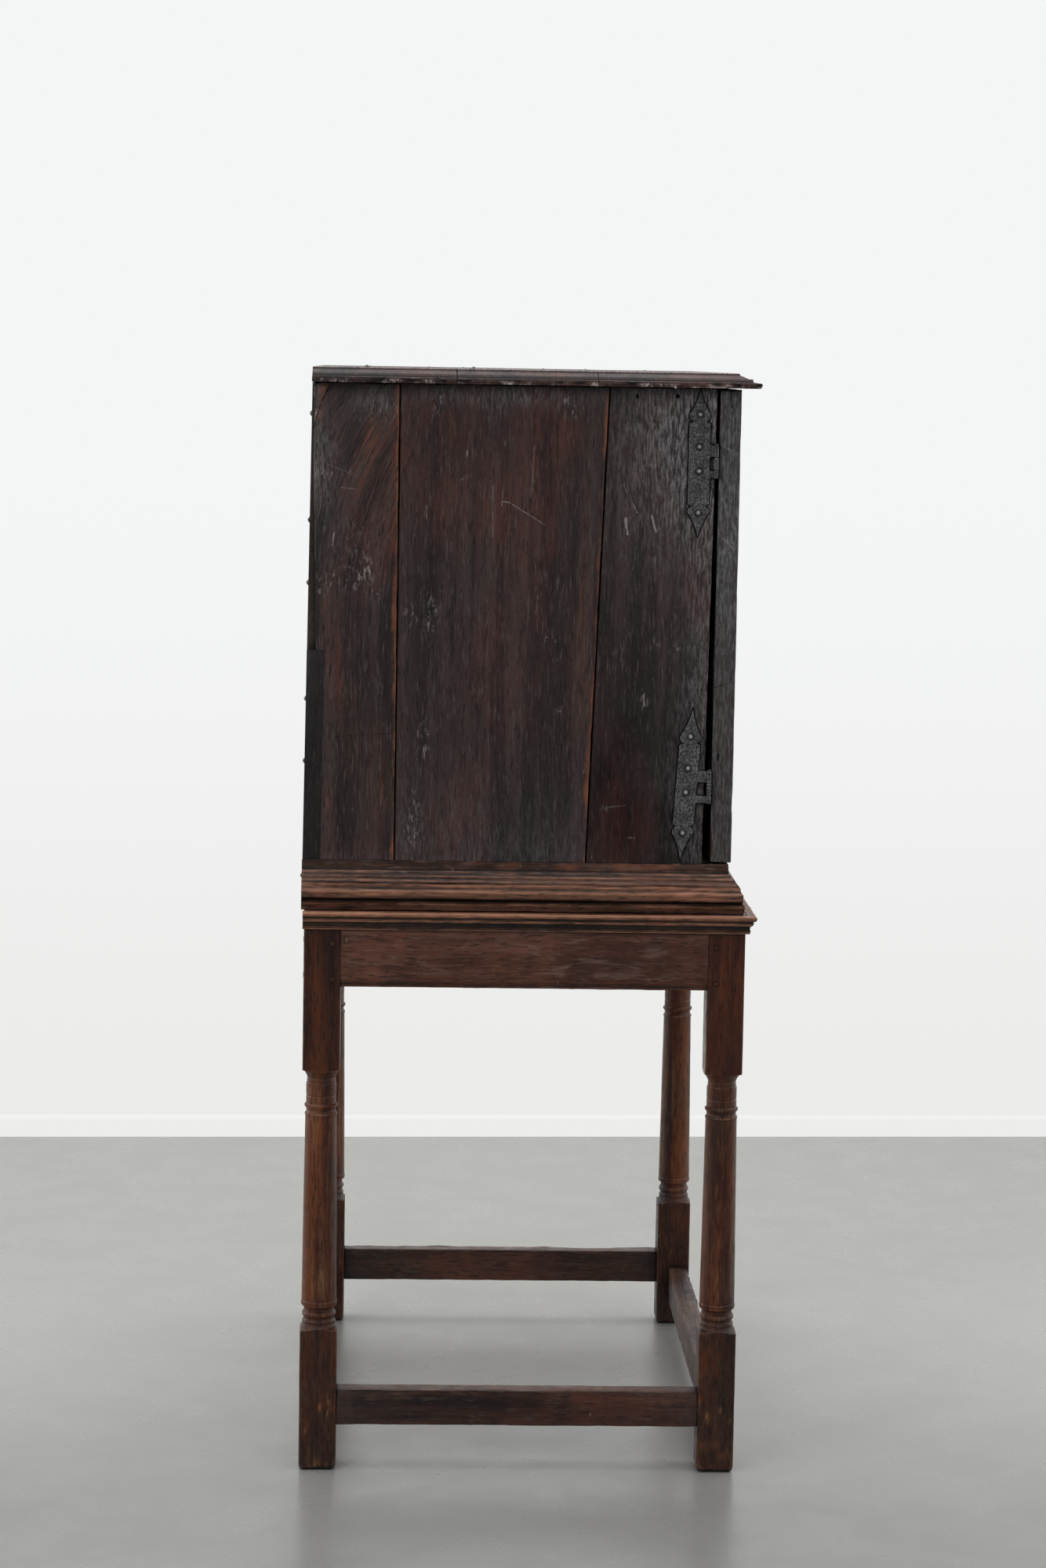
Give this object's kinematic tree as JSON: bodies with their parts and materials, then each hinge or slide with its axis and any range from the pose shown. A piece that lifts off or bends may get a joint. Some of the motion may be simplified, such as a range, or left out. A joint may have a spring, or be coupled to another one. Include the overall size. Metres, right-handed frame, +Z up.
{
  "type": "cabinet on stand",
  "caption": "Old oak boarded cabinet with a pair of framed doors on iron side hinges, standing on a joined oak stand with turned legs and moulded edges.",
  "frame": {"origin": "centre of the overall box in X and Y, on the floor under the feet (Z 0)", "axes": "+Z up, the doors face -Y, +Y towards the back, +X to the right of someone who faces the doors"},
  "size_m": [0.868, 0.617, 1.503],
  "materials": {
    "oak_stand": "waxed, worn",
    "oak_moulding": "waxed, worn",
    "oak_carcase": "dark, waxed, worn",
    "oak_inside": "dry, unpolished",
    "oak_door": "dark, waxed, worn",
    "iron": "blackened wrought iron, hammered"
  },
  "bodies": {
    "cabinet": {"leg_front_left": "oak_stand", "leg_front_right": "oak_stand", "leg_back_left": "oak_stand", "leg_back_right": "oak_stand", "rail_front": "oak_stand", "rail_back": "oak_stand", "rail_left": "oak_stand", "rail_right": "oak_stand", "stretcher_front": "oak_stand", "stretcher_back": "oak_stand", "stretcher_left": "oak_stand", "stretcher_right": "oak_stand", "stand_pegs": "oak_stand", "stand_moulding_front": "oak_moulding", "stand_moulding_left": "oak_moulding", "stand_moulding_right": "oak_moulding", "base_moulding_front": "oak_moulding", "base_moulding_left": "oak_moulding", "base_moulding_right": "oak_moulding", "top_board_back": "oak_moulding", "top_board_middle": "oak_moulding", "top_board_front": "oak_moulding", "side_left_back_board": "oak_carcase", "side_left_middle_board": "oak_carcase", "side_left_front_board": "oak_carcase", "side_left_repair_strip": "oak_carcase", "side_right_back_board": "oak_carcase", "side_right_middle_board": "oak_carcase", "side_right_front_board": "oak_carcase", "base_rail": "oak_carcase", "shelf_ledgers": "oak_inside", "bottom_boards": "oak_inside", "shelf_boards": "oak_inside", "back_boards": "oak_inside", "back_nails": "iron", "top_nails": "iron", "hinge_plates_left": "iron", "hinge_plates_right": "iron", "hinge_pins": "iron", "hinge_nails": "iron"},
    "door_left": {"door_left_hinge_stile": "oak_door", "door_left_meeting_stile": "oak_door", "door_left_top_rail": "oak_door", "door_left_foot_rail": "oak_door", "door_left_panel": "oak_door", "door_left_pegs": "oak_door", "hinge_leaves_left": "iron", "lock_keep": "iron", "door_bolt_guide": "iron"},
    "door_right": {"door_right_hinge_stile": "oak_door", "door_right_meeting_stile": "oak_door", "door_right_top_rail": "oak_door", "door_right_foot_rail": "oak_door", "door_right_panel": "oak_door", "door_right_pegs": "oak_door", "hinge_leaves_right": "iron", "lock_case": "iron", "escutcheon": "iron"},
    "lock_bolt": {"lock_bolt": "iron"},
    "door_bolt": {"door_bolt": "iron"}
  },
  "joints": [
    {"name": "door_left_hinge", "type": "hinge", "parent": "cabinet", "child": "door_left", "pos_m": [-0.3994, -0.2415, 1.1535], "axis": [0, 0, 1], "range_deg": [-170, 0]},
    {"name": "door_right_hinge", "type": "hinge", "parent": "cabinet", "child": "door_right", "pos_m": [0.3994, -0.2415, 1.1535], "axis": [0, 0, 1], "range_deg": [0, 170]},
    {"name": "lock_bolt_slide", "type": "slide", "parent": "door_right", "child": "lock_bolt", "axis": [-1, 0, 0], "range_m": [0, 0.012]},
    {"name": "door_bolt_slide", "type": "slide", "parent": "door_left", "child": "door_bolt", "axis": [0, 0, 1], "range_m": [0, 0.012]}
  ]
}
